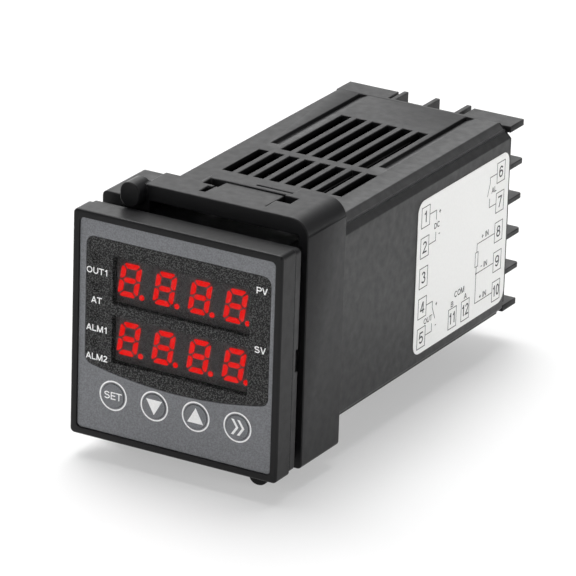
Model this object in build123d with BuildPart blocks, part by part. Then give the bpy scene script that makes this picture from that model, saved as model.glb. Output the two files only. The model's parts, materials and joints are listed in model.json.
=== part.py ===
"""Panel temperature controller, 48 by 48 mm front, with its mounting collar.

Millimetres. +X is to the right of someone who reads the display, +Y runs to
the rear and +Z is up. The origin is the middle of the panel plane, which is
the rear face of the flange on the case.
"""
import os
from math import radians, tan

from build123d import *

os.makedirs("parts", exist_ok=True)

# Fits
running_gap = 0.2        # between pieces that slide past each other
seat_gap = 0.1           # between pieces of different bodies that rest together
hole_gap = 0.05          # around a screw or a pin, on the radius

# Case: a square tube with cut corners and a flange in front of the panel
case_width = 43.8
case_wall = 1.3
case_chamfer = 2.9
case_length = 90.7
case_rib_radius = 0.25
flange_side = 2.0
flange_top = 1.6
flange_depth = 2.1
flange_corner = 1.0
latch_notch_height = 4.6
latch_notch_depth = 0.9
latch_notch_reach = 0.8

# Vents and guide grooves in the top and the bottom of the case
vent_width = 2.3
vent_pitch = 3.65
front_vent_count = 8
rear_vent_count = 6
front_vent_start = 33.4
front_vent_length = 14.8
rear_vent_start = 50.7
rear_vent_length = 25.4
groove_start = 53.0
groove_end_wall = 0.8
groove_depth = 0.95

# Rails that guide the two long boards
rail_thickness = 1.0
rail_height = 4.3
rail_start = 14.0

# Bezel of the draw-out unit
bezel_width = 48.0
bezel_depth = 5.3
bezel_corner = 1.0
bezel_edge = 0.35
bezel_border = 1.55
rim_wall = 3.0
rim_floor = 1.2
film_recess = 0.4
film_thickness = 0.4
film_gap = 0.05
face_thickness = 2.0
skirt_wall = 1.5
skirt_length = 6.3
skirt_corner = 2.6
board_ledge = 1.0
hook_height = 8.0
hook_reach = 0.9
hook_length = 1.2

# Display window: straight sides and top, and a lower edge that is a shallow arc
window_left_margin = 3.1
window_right_margin = 2.6
window_top_margin = 5.1
window_side_bottom = -8.0
window_sag = 2.4
window_corner = 1.8
window_ledge = 1.0
window_seat = 0.9

# Two rows of four figures, and the indicator lamps beside them
digit_pitch = 8.1
digit_height = 7.1
digit_width = 4.6
digit_slant = 9.0
digit_count = 4
segment_width = 1.05
segment_gap = 0.16
segment_cut = 0.7
segment_relief = 0.15
dot_radius = 0.5
row_centre_x = 0.95
upper_row_z = 10.6
lower_row_z = -1.9
display_width = 31.4
display_height = 10.2
display_depth = 6.0
display_clearance = 0.35
lamp_x = -18.8
lamp_foot_x = -16.9
lamp_zs = (14.3, 8.2, 2.0, -3.9)
lamp_width = 1.6
lamp_height = 1.0

# Keys, switches and the board behind the face
key_xs = (-14.1, -4.5, 5.1, 14.7)
key_names = ("key_set", "key_down", "key_up", "key_shift")
key_z = -14.05
key_radius = 2.5
key_gap = 0.1
key_proud = 0.12
key_lip = 0.35
key_lip_thickness = 0.8
key_stem_radius = 1.6
key_travel = 0.3
switch_width = 6.0
switch_depth = 3.6
switch_well = 1.0
display_board_thickness = 1.6
board_gap = 0.15

# The two long boards and what they carry
long_board_x = 8.7
long_board_thickness = 1.6
long_board_room = 3.3
long_board_length = 78.0
joint_block_thickness = 2.5
joint_block_height = 24.0
joint_block_length = 6.0
core_width = 14.0
core_length = 8.0
core_height = 19.0
core_start = 37.4
core_z = 5.5
core_bar = 4.0
core_side = 3.0
core_leg = 4.0
coil_reach = 3.2
coil_gap = 0.15
capacitor_radius = 5.0
capacitor_height = 15.5
capacitor_start = 20.0
capacitor_z = 2.0
capacitor_edge = 0.5

# Boxed components: thickness, length and height, then start and middle height
relay_size = (12.4, 20.0, 15.6)
relay_start = 54.0
relay_z = 7.5
alarm_relay_size = (7.6, 18.0, 10.2)
alarm_relay_start = 52.0
alarm_relay_z = -6.0
film_capacitor_size = (5.0, 13.0, 9.0)
film_capacitor_start = 16.0
film_capacitor_z = 6.0
controller_chip_size = (1.6, 10.0, 10.0)
controller_chip_start = 26.0
driver_chip_size = (2.0, 5.0, 9.6)
driver_chip_start = 46.0

# Terminal block at the rear
block_inset = 0.6
block_corner = 2.9
block_flange = 1.9
block_plug_length = 6.7
block_skirt_length = 6.0
block_skirt_wall = 1.6
row_pitch = 7.8
row_count = 5
barrier_pitch = 7.6
barrier_thickness = 1.1
barrier_length = 6.6
barrier_inset = 0.3
shelf_length = 6.0
shelf_corner = 0.9
plate_thickness = 1.4
plate_length = 6.0
plate_rise = 0.6
plate_inner_margin = 0.9
plate_outer_margin = 0.3
outer_column_x = 14.0
inner_column_x = 3.9

# Terminal screws, clamp plates and contact strips
screw_radius = 1.5
screw_head_radius = 2.4
screw_head_height = 1.9
screw_depth = 7.2
screw_slot_width = 0.9
screw_slot_depth = 0.9
screw_cross_length = 3.2
clamp_width = 5.6
clamp_height = 6.2
clamp_thickness = 0.8
clamp_lip = 0.6
clamp_lip_height = 0.35
contact_thickness = 0.8
contact_width = 5.6
contact_tail_height = 3.0
contact_tail_end = 73.0
contact_gap = 0.1
contact_jog_start = 77.4
contact_jog_length = 3.0

# Mounting collar: a low square ring with a raised bridge above and below
collar_side_wall = 1.6
collar_end_wall = 2.5
collar_front = 3.1
collar_rear = 18.2
collar_corner = 1.0
bridge_left = -13.9
bridge_rise = 3.4
bridge_thickness = 3.4
bridge_corner = 4.0
bridge_edge = 0.5
bridge_wall = 1.2
bridge_side_wall = 2.4
bridge_short_right = -5.6
bridge_short_rear = 11.2
bridge_middle_right = 13.0
bridge_middle_rear = 15.0
foot_left = -17.8
foot_right = -13.4
foot_rise = 4.2
foot_rear = 5.0
foot_corner = 2.1
finger_left = 4.4
finger_start = 15.4
finger_end = 16.4
tongue_left = -1.8
tongue_right = 12.1
tongue_root = 5.9
tongue_end = 13.6
tongue_slit = 0.2
tongue_drop = 0.3
tooth_width = 9.0
tooth_length = 1.6
left_slit_width = 1.2
left_slit_end = 9.4
left_window_left = -4.8
left_window_right = -1.3
left_window_start = 10.3
right_window_right = 15.5
right_window_start = 9.8
right_window_end = 13.2

# Wiring label on the right-hand side
label_start = 51.4
label_bottom = -17.2
label_top = 16.5
label_thickness = 0.08
label_corner = 2.5

# Places worked out from the sizes above
case_half = case_width / 2
bore_half = case_half - case_wall
bore_chamfer = case_chamfer - 0.6 * case_wall
flange_width = case_width + 2 * flange_side
flange_height = case_width + 2 * flange_top
window_left = window_left_margin - bezel_width / 2
window_right = bezel_width / 2 - window_right_margin
window_top = bezel_width / 2 - window_top_margin
bezel_rear = -flange_depth - seat_gap
bezel_front = -flange_depth - bezel_depth
film_front = bezel_front + film_recess
face_front = film_front + film_thickness
face_rear = face_front + face_thickness
window_rear = face_front + window_seat
display_front = window_rear + display_clearance
board_front = display_front + display_depth
board_rear = board_front + display_board_thickness
skirt_half = bore_half - running_gap
skirt_inner = skirt_half - skirt_wall
rim_half = bezel_width / 2 - rim_wall
rim_rear = bezel_rear - rim_floor
board_half = skirt_inner - board_gap
board_middle = long_board_x + long_board_thickness / 2
long_board_outer = long_board_x + long_board_thickness
key_lip_front = face_rear + seat_gap
key_stem_front = key_lip_front + key_lip_thickness
switch_front = board_front - switch_depth
key_stem_rear = switch_front + switch_well - key_travel - seat_gap
long_board_height = 2 * (bore_half - long_board_room)
block_half = case_half - block_inset
block_width = 2 * block_half
plug_half = bore_half - hole_gap
block_face = case_length + block_flange
plug_front = case_length - block_plug_length
plug_skirt_front = plug_front - block_skirt_length
row_zs = [((row_count - 1) / 2 - row) * row_pitch for row in range(row_count)]
shelf_zs = [z - row_pitch / 2 for z in row_zs[:-1]]
end_shelf_z = row_zs[0] + row_pitch / 2
pad_face = block_face + contact_thickness
clamp_face = pad_face + clamp_thickness
first_digit_x = row_centre_x - dot_radius - (digit_count - 1) / 2 * digit_pitch
digit_xs = [first_digit_x + i * digit_pitch for i in range(digit_count)]


def across(y):
    """Plane across the case at this depth: sketch x is X and sketch y is Z."""
    return Plane.XZ.offset(-y)


def finish(piece, name):
    """Names a piece and writes it."""
    piece.part.label = name
    export_step(piece.part, f"parts/{name}.step")


# Case tube
with BuildPart() as case_tube:
    with BuildSketch(across(0)) as case_outline:
        Rectangle(case_width, case_width)
        chamfer(case_outline.vertices(), case_chamfer)
    extrude(amount=-case_length)
    with BuildSketch(across(-flange_depth)):
        RectangleRounded(flange_width, flange_height, flange_corner)
    extrude(amount=-flange_depth)
    # A fine ridge runs along the middle of each cut corner
    ridge_place = case_half - case_chamfer / 2
    with BuildSketch(across(0)):
        with GridLocations(2 * ridge_place, 2 * ridge_place, 2, 2):
            Circle(case_rib_radius)
    extrude(amount=-case_length)
    with BuildSketch(across(-flange_depth)) as bore_outline:
        Rectangle(2 * bore_half, 2 * bore_half)
        chamfer(bore_outline.vertices(), bore_chamfer)
    extrude(amount=-(flange_depth + case_length), mode=Mode.SUBTRACT)
    # Notches at the sides, where a blade reaches the latch of the unit
    with BuildSketch(across(0)):
        with GridLocations(flange_width, 0, 2, 1):
            Rectangle(2 * latch_notch_reach, latch_notch_height)
    extrude(amount=latch_notch_depth, mode=Mode.SUBTRACT)
    # Vents through the top and the bottom
    for count, start, length in (
        (front_vent_count, front_vent_start, front_vent_length),
        (rear_vent_count, rear_vent_start, rear_vent_length),
    ):
        with BuildSketch(Plane.XY.offset(-case_half)):
            with Locations((0, start + length / 2)):
                with GridLocations(vent_pitch, 0, count, 1):
                    Rectangle(vent_width, length)
        extrude(amount=case_width, mode=Mode.SUBTRACT)
    # Guide grooves with one steep side, in line with the outermost vents
    groove_x = (front_vent_count - 1) / 2 * vent_pitch
    groove_length = case_length - groove_end_wall - groove_start
    for side in (1, -1):
        with BuildSketch(across(groove_start)):
            for x in (-groove_x, groove_x):
                Polygon(
                    (x - side * vent_width / 2, side * (case_half + groove_depth)),
                    (x - side * vent_width / 2, side * (case_half - groove_depth)),
                    (x + side * vent_width / 2, side * case_half),
                    (x + side * vent_width / 2, side * (case_half + groove_depth)),
                )
        extrude(amount=-groove_length, mode=Mode.SUBTRACT)
    # Rails either side of each long board, on the floor and under the roof
    rail_offset = long_board_thickness / 2 + running_gap + rail_thickness / 2
    rail_length = contact_tail_end - running_gap - rail_start
    with BuildSketch(across(rail_start)):
        with GridLocations(2 * board_middle, 2 * bore_half - rail_height, 2, 2):
            with GridLocations(2 * rail_offset, 0, 2, 1):
                Rectangle(rail_thickness, rail_height)
    extrude(amount=-rail_length)
finish(case_tube, "case_tube")


def window_outline(inset):
    """Face of the display window, made smaller all round by the inset."""
    left = window_left + inset
    right = window_right - inset
    top = window_top - inset
    low = window_side_bottom + inset
    middle = (left + right) / 2
    with BuildSketch() as outline:
        with BuildLine():
            Polyline((left, low), (left, top), (right, top), (right, low))
            ThreePointArc((right, low), (middle, low - window_sag), (left, low))
        make_face()
        fillet(outline.vertices(), max(window_corner - inset, window_corner / 4))
    return outline.sketch


# Bezel: deep rim, face plate, and a skirt that slides into the case
with BuildPart() as front_bezel:
    with BuildSketch(across(bezel_front)):
        RectangleRounded(bezel_width, bezel_width, bezel_corner)
    extrude(amount=-(bezel_rear - bezel_front))
    chamfer(front_bezel.faces().sort_by(Axis.Y)[0].edges(), bezel_edge)
    with BuildSketch(across(bezel_rear)) as skirt_outline:
        Rectangle(2 * skirt_half, 2 * skirt_half)
        chamfer(skirt_outline.vertices(), skirt_corner)
    extrude(amount=-skirt_length)
    # Hollow behind the face: wide in the rim, then a ledge for the board
    with BuildSketch(across(face_rear)):
        RectangleRounded(2 * rim_half, 2 * rim_half, bezel_corner)
    extrude(amount=-(rim_rear - face_rear), mode=Mode.SUBTRACT)
    ledge_width = 2 * (board_half - board_ledge)
    with BuildSketch(across(rim_rear)):
        RectangleRounded(ledge_width, ledge_width, bezel_corner)
    extrude(amount=-(board_front - rim_rear), mode=Mode.SUBTRACT)
    with BuildSketch(across(board_front)) as board_space:
        Rectangle(2 * skirt_inner, 2 * skirt_inner)
        chamfer(board_space.vertices(), skirt_corner - skirt_wall)
    extrude(amount=-(bezel_rear + skirt_length - board_front), mode=Mode.SUBTRACT)
    # Hooks at the sides, which hold the board against its ledge
    with BuildSketch(Plane.XY.offset(-hook_height / 2)):
        for side in (-1, 1):
            Polygon(
                (side * skirt_inner, board_rear + hole_gap),
                (side * (skirt_inner - hook_reach), board_rear + hole_gap),
                (side * skirt_inner, board_rear + hole_gap + hook_length),
            )
    extrude(amount=hook_height)
    # Recess for the film, seat and opening for the window, and holes for the keys
    recess_width = bezel_width - 2 * bezel_border
    with BuildSketch(across(bezel_front)):
        RectangleRounded(recess_width, recess_width, bezel_corner)
    extrude(amount=-(face_front - bezel_front), mode=Mode.SUBTRACT)
    with BuildSketch(across(face_front)):
        add(window_outline(0))
    extrude(amount=-window_seat, mode=Mode.SUBTRACT)
    with BuildSketch(across(face_front)):
        add(window_outline(window_ledge))
        with Locations(*[(x, key_z) for x in key_xs]):
            Circle(key_radius + key_gap)
    extrude(amount=-face_thickness, mode=Mode.SUBTRACT)
finish(front_bezel, "front_bezel")

# Printed film on the face, open at the window and at the keys
with BuildPart() as front_film:
    film_width = recess_width - 2 * film_gap
    with BuildSketch(across(film_front)):
        RectangleRounded(film_width, film_width, bezel_corner - film_gap)
        add(window_outline(-film_gap), mode=Mode.SUBTRACT)
        with Locations(*[(x, key_z) for x in key_xs]):
            Circle(key_radius + key_gap, mode=Mode.SUBTRACT)
    extrude(amount=-film_thickness)
finish(front_film, "front_film")

# Tinted window, level with the film and seated on the ledge behind it
with BuildPart() as display_window:
    with BuildSketch(across(film_front)):
        add(window_outline(film_gap))
    extrude(amount=-(window_rear - film_front))
finish(display_window, "display_window")


def bar(*corners):
    """Bar of a figure, which leans to the right with its height."""
    lean = tan(radians(digit_slant))
    Polygon(*[(x + z * lean, z) for x, z in corners])


# One figure with all its bars mitred at the cut corners, and its point
with BuildSketch() as figure:
    half_width = digit_width / 2
    half_height = digit_height / 2
    inner_x = half_width - segment_width
    inner_z = half_height - segment_width
    near_cut = (segment_cut - segment_gap) / 2
    far_cut = (segment_cut + segment_gap) / 2
    slim = segment_width / 2
    for up in (1, -1):
        bar(
            (-(half_width - far_cut), up * (half_height - near_cut)),
            (-(half_width - segment_cut), up * half_height),
            (half_width - segment_cut, up * half_height),
            (half_width - far_cut, up * (half_height - near_cut)),
            (inner_x - segment_gap, up * inner_z),
            (segment_gap - inner_x, up * inner_z),
        )
        for side in (1, -1):
            bar(
                (side * (half_width - near_cut), up * (half_height - far_cut)),
                (side * half_width, up * (half_height - segment_cut)),
                (side * half_width, up * segment_gap / 2),
                (side * (half_width - slim), up * segment_gap / 2),
                (side * inner_x, up * (slim + segment_gap / 2)),
                (side * inner_x, up * (inner_z - segment_gap)),
            )
    bar(
        (slim + segment_gap - half_width, 0),
        (segment_gap - inner_x, slim),
        (inner_x - segment_gap, slim),
        (half_width - slim - segment_gap, 0),
        (inner_x - segment_gap, -slim),
        (segment_gap - inner_x, -slim),
    )
    with Locations((half_width + dot_radius, dot_radius - half_height)):
        Circle(dot_radius)

for name, row_z in (("pv", upper_row_z), ("sv", lower_row_z)):
    # Display module: a block with its figures on the front, soldered to the board
    with BuildPart() as display_block:
        with BuildSketch(across(display_front)):
            with Locations((row_centre_x, row_z)):
                Rectangle(display_width, display_height)
        extrude(amount=-display_depth)
    finish(display_block, f"{name}_display")
    with BuildPart() as lit_bars:
        with BuildSketch(across(display_front)):
            for x in digit_xs:
                with Locations((x, row_z)):
                    add(figure.sketch)
        extrude(amount=segment_relief)
    finish(lit_bars, f"{name}_segments")

# Indicator lamps: light guides that step sideways from the window to the board
lamp_left = lamp_x - lamp_width / 2
lamp_right = lamp_x + lamp_width / 2
lamp_foot_left = lamp_foot_x - lamp_width / 2
lamp_foot_right = lamp_foot_x + lamp_width / 2
with BuildPart() as indicator_lamps:
    for z in lamp_zs:
        with BuildSketch(Plane.XY.offset(z - lamp_height / 2)):
            Polygon(
                (lamp_left, display_front),
                (lamp_right, display_front),
                (lamp_right, face_rear + hole_gap),
                (lamp_foot_right, face_rear + hole_gap),
                (lamp_foot_right, board_front),
                (lamp_foot_left, board_front),
                (lamp_foot_left, rim_rear - hole_gap),
                (lamp_left, rim_rear - hole_gap),
            )
        extrude(amount=lamp_height)
finish(indicator_lamps, "indicator_lamps")

# Keys: a cap, a lip that keeps it behind the face, and a stem
for name, x in zip(key_names, key_xs):
    with BuildPart() as key:
        for start, end, radius in (
            (film_front - key_proud, key_lip_front, key_radius),
            (key_lip_front, key_stem_front, key_radius + key_lip),
            (key_stem_front, key_stem_rear, key_stem_radius),
        ):
            with BuildSketch(across(start)):
                with Locations((x, key_z)):
                    Circle(radius)
            extrude(amount=start - end)
    finish(key, name)

# Push switches, each with a well that takes the stem of its key
with BuildPart() as key_switches:
    with BuildSketch(across(switch_front)):
        with Locations(*[(x, key_z) for x in key_xs]):
            Rectangle(switch_width, switch_width)
    extrude(amount=-switch_depth)
    with BuildSketch(across(switch_front)):
        with Locations(*[(x, key_z) for x in key_xs]):
            Circle(key_stem_radius + key_gap)
    extrude(amount=-switch_well, mode=Mode.SUBTRACT)
finish(key_switches, "key_switches")

# Board behind the face, on the ledge in the skirt
with BuildPart() as display_board:
    with BuildSketch(across(board_front)) as board_outline:
        Rectangle(2 * board_half, 2 * board_half)
        chamfer(board_outline.vertices(), skirt_corner - skirt_wall)
    extrude(amount=-display_board_thickness)
finish(display_board, "display_board")

# Two long boards behind the display board, one on each side
for name, side in (("power_board", 1), ("control_board", -1)):
    with BuildPart() as long_board:
        with BuildSketch(across(board_rear)):
            with Locations((side * board_middle, 0)):
                Rectangle(long_board_thickness, long_board_height)
        extrude(amount=-long_board_length)
    finish(long_board, name)

# Pin blocks that join the long boards to the display board
with BuildPart() as joint_blocks:
    with BuildSketch(across(board_rear)):
        with GridLocations(2 * long_board_x - joint_block_thickness, 0, 2, 1):
            Rectangle(joint_block_thickness, joint_block_height)
    extrude(amount=-joint_block_length)
finish(joint_blocks, "joint_blocks")

# Transformer between the boards: a core with two windows, and a taped coil
core_middle = long_board_x - core_width / 2
core_window = core_height - 2 * core_bar
coil_half_width = core_width / 2 - core_side - coil_gap
with BuildPart() as transformer_core:
    with BuildSketch(across(core_start)):
        with Locations((core_middle, core_z)):
            Rectangle(core_width, core_height)
            Rectangle(core_width - 2 * core_side, core_window, mode=Mode.SUBTRACT)
            Rectangle(core_leg, core_height)
    extrude(amount=-core_length)
finish(transformer_core, "transformer_core")

with BuildPart() as transformer_coil:
    with BuildSketch(Plane.XY.offset(core_z - core_window / 2)):
        with Locations((core_middle, core_start + core_length / 2)):
            RectangleRounded(2 * coil_half_width, core_length + 2 * coil_reach, core_side / 2)
            Rectangle(core_leg, core_length, mode=Mode.SUBTRACT)
    extrude(amount=core_window)
finish(transformer_coil, "transformer_coil")

# Boxed components, on the outer or the inner face of a long board
for name, size, side, outside, start, z in (
    ("output_relay", relay_size, -1, False, relay_start, relay_z),
    ("alarm_relay", alarm_relay_size, 1, True, alarm_relay_start, alarm_relay_z),
    ("film_capacitor", film_capacitor_size, 1, True, film_capacitor_start, film_capacitor_z),
    ("controller_chip", controller_chip_size, -1, True, controller_chip_start, 0),
    ("driver_chip", driver_chip_size, -1, True, driver_chip_start, 0),
):
    thickness, length, height = size
    near = long_board_outer if outside else long_board_x - thickness
    with BuildPart() as component:
        with BuildSketch(across(start)):
            with Locations((side * (near + thickness / 2), z)):
                Rectangle(thickness, height)
        extrude(amount=-length)
    finish(component, name)

# Smoothing capacitor, a can that lies across the space between the boards
with BuildPart() as smoothing_capacitor:
    with BuildSketch(Plane.YZ.offset(long_board_x)):
        with Locations((capacitor_start + capacitor_radius, capacitor_z)):
            Circle(capacitor_radius)
    extrude(amount=-capacitor_height)
    fillet(smoothing_capacitor.faces().sort_by(Axis.X)[0].edges(), capacitor_edge)
finish(smoothing_capacitor, "smoothing_capacitor")

# Terminals: the outer columns have one in each row, the inner ones in the last row
outer_points = [(side * outer_column_x, z) for side in (1, -1) for z in row_zs]
inner_points = [(side * inner_column_x, row_zs[-1]) for side in (1, -1)]
terminal_points = outer_points + inner_points
outer_tail_x = long_board_outer + contact_gap
inner_tail_x = inner_column_x + contact_width / 2 - contact_thickness
board_tail_x = long_board_x - contact_gap - contact_thickness
half_contact = contact_thickness / 2
tail_slits = [(side * (outer_tail_x + half_contact), z) for side in (1, -1) for z in row_zs]
tail_slits += [(side * (inner_tail_x + half_contact), row_zs[-1]) for side in (1, -1)]

# Terminal block: plug that closes the case, barriers, shelves and end plates
with BuildPart() as terminal_block:
    with BuildSketch(across(case_length)) as block_outline:
        Rectangle(block_width, block_width)
        chamfer(block_outline.vertices(), block_corner)
    extrude(amount=-block_flange)
    with BuildSketch(across(plug_skirt_front)) as plug_outline:
        Rectangle(2 * plug_half, 2 * plug_half)
        chamfer(plug_outline.vertices(), bore_chamfer + hole_gap)
    extrude(amount=-(case_length - plug_skirt_front))
    mouth_width = 2 * (plug_half - block_skirt_wall)
    with BuildSketch(across(plug_skirt_front)) as plug_mouth:
        Rectangle(mouth_width, mouth_width)
        chamfer(plug_mouth.vertices(), bore_chamfer)
    extrude(amount=-block_skirt_length, mode=Mode.SUBTRACT)
    # Upright barriers between the columns
    with BuildSketch(across(block_face)):
        with GridLocations(barrier_pitch, 0, 3, 1):
            Rectangle(barrier_thickness, block_width - 2 * barrier_inset)
    extrude(amount=-barrier_length)
    # Shelves between the rows, each with a round corner at its outer end
    shelf_end = block_face + shelf_length
    corner_start = shelf_end - shelf_corner
    corner_middle = shelf_corner * (1 - 0.5 ** 0.5)
    for z in shelf_zs:
        with BuildSketch(Plane.XY.offset(z - barrier_thickness / 2)):
            for side in (-1, 1):
                with BuildLine():
                    Polyline(
                        (side * (block_half - shelf_corner), shelf_end),
                        (side * barrier_pitch, shelf_end),
                        (side * barrier_pitch, block_face),
                        (side * block_half, block_face),
                        (side * block_half, corner_start),
                    )
                    ThreePointArc(
                        (side * block_half, corner_start),
                        (side * (block_half - corner_middle), shelf_end - corner_middle),
                        (side * (block_half - shelf_corner), shelf_end),
                    )
                make_face()
        extrude(amount=barrier_thickness)
    with BuildSketch(across(block_face)):
        with Locations((0, shelf_zs[-1])):
            Rectangle(2 * barrier_pitch, barrier_thickness)
    extrude(amount=-shelf_length)
    # End plates above and below the outer columns
    plate_inner = barrier_pitch + barrier_thickness / 2 + plate_inner_margin
    plate_outer = block_half - plate_outer_margin
    with BuildSketch(across(block_face)):
        with GridLocations(plate_inner + plate_outer, 2 * (end_shelf_z + plate_rise), 2, 2):
            Rectangle(plate_outer - plate_inner, plate_thickness)
    extrude(amount=-plate_length)
    # Holes for the screws and slits for the contact strips
    with BuildSketch(across(block_face)):
        with Locations(*terminal_points):
            Circle(screw_radius + hole_gap)
    extrude(amount=screw_depth, mode=Mode.SUBTRACT)
    with BuildSketch(across(block_face)):
        with Locations(*tail_slits):
            Rectangle(contact_thickness + 2 * hole_gap, contact_tail_height + 2 * hole_gap)
    extrude(amount=block_face - plug_front, mode=Mode.SUBTRACT)
finish(terminal_block, "terminal_block")

# Contact strips: a pad under each clamp and a tail that runs to the board
pad_inner = outer_column_x - contact_width / 2
tail_length = pad_face - contact_tail_end
with BuildPart() as terminal_contacts:
    with BuildSketch(across(block_face)):
        with Locations(*terminal_points):
            Rectangle(contact_width, contact_width)
        with GridLocations(outer_tail_x + pad_inner + contact_thickness, row_pitch, 2, row_count):
            Rectangle(pad_inner + contact_thickness - outer_tail_x, contact_tail_height)
        with Locations(*terminal_points):
            Circle(screw_radius + hole_gap, mode=Mode.SUBTRACT)
    extrude(amount=-contact_thickness)
    for z in row_zs:
        with BuildSketch(Plane.XY.offset(z - contact_tail_height / 2)):
            with Locations((0, contact_tail_end + tail_length / 2)):
                with GridLocations(2 * outer_tail_x + contact_thickness, 0, 2, 1):
                    Rectangle(contact_thickness, tail_length)
        extrude(amount=contact_tail_height)
    with BuildSketch(Plane.XY.offset(row_zs[-1] - contact_tail_height / 2)):
        for side in (-1, 1):
            Polygon(
                (side * inner_tail_x, pad_face),
                (side * (inner_tail_x + contact_thickness), pad_face),
                (side * (inner_tail_x + contact_thickness), contact_jog_start + contact_jog_length),
                (side * (board_tail_x + contact_thickness), contact_jog_start),
                (side * (board_tail_x + contact_thickness), contact_tail_end),
                (side * board_tail_x, contact_tail_end),
                (side * board_tail_x, contact_jog_start),
                (side * inner_tail_x, contact_jog_start + contact_jog_length),
            )
    extrude(amount=contact_tail_height)
finish(terminal_contacts, "terminal_contacts")

# Clamp plates under the screw heads, with a raised lip above and below
with BuildPart() as clamp_plates:
    with BuildSketch(across(pad_face)):
        with Locations(*terminal_points):
            Rectangle(clamp_width, clamp_height)
            Circle(screw_radius + hole_gap, mode=Mode.SUBTRACT)
    extrude(amount=-clamp_thickness)
    with BuildSketch(across(clamp_face)):
        with Locations(*terminal_points):
            with GridLocations(0, clamp_height - clamp_lip, 1, 2):
                Rectangle(clamp_width, clamp_lip)
    extrude(amount=-clamp_lip_height)
finish(clamp_plates, "clamp_plates")

# Terminal screws, with a slot and a short cross in each head
with BuildPart() as terminal_screws:
    with BuildSketch(across(clamp_face)):
        with Locations(*terminal_points):
            Circle(screw_head_radius)
    extrude(amount=-screw_head_height)
    with BuildSketch(across(clamp_face)):
        with Locations(*terminal_points):
            Circle(screw_radius)
    extrude(amount=clamp_thickness + contact_thickness + screw_depth - hole_gap)
    with BuildSketch(across(clamp_face + screw_head_height)):
        with Locations(*terminal_points):
            Rectangle(2 * screw_head_radius, screw_slot_width)
            Rectangle(screw_slot_width, screw_cross_length)
    extrude(amount=screw_slot_depth, mode=Mode.SUBTRACT)
finish(terminal_screws, "terminal_screws")

# Wiring label on the right-hand side
with BuildPart() as wiring_label:
    label_length = case_length - label_start
    with BuildSketch(Plane.YZ.offset(case_half)):
        with Locations((label_start + label_length / 2, (label_top + label_bottom) / 2)):
            RectangleRounded(label_length, label_top - label_bottom, label_corner)
    extrude(amount=label_thickness)
finish(wiring_label, "wiring_label")

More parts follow.
